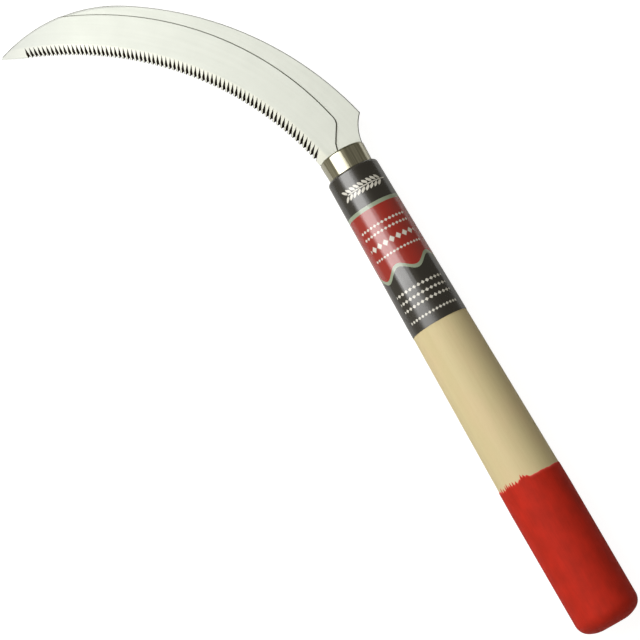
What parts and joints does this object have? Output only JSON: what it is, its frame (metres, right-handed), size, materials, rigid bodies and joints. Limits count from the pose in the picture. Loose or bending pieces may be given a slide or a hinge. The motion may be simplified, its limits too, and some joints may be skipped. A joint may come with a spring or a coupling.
{
  "type": "serrated sickle",
  "caption": "Serrated harvest knife: hooked sheet-steel blade with ground teeth along its inner edge, seated in a ferrule on a turned wooden handle with a dipped butt and a printed sleeve.",
  "frame": {"origin": "middle of the butt's end face", "axes": "+X along the handle from the butt to the blade, +Y to the side that the tip hooks to, +Z out of the grooved face"},
  "size_m": [0.3679, 0.1312, 0.0308],
  "materials": {
    "blade_steel": "satin ground stainless sheet",
    "polished_steel": "polished stainless",
    "bare_wood": "pale close-grained wood, sanded and uncoated",
    "printed_film": null,
    "red_dip": "dipped red paint, satin",
    "pin_steel": "plain drawn steel"
  },
  "bodies": {
    "root": {"blade": "blade_steel", "ferrule": "polished_steel", "handle": "bare_wood", "label_sleeve": "printed_film", "dip_coat": "red_dip", "tang_pin": "pin_steel"}
  },
  "joints": []
}
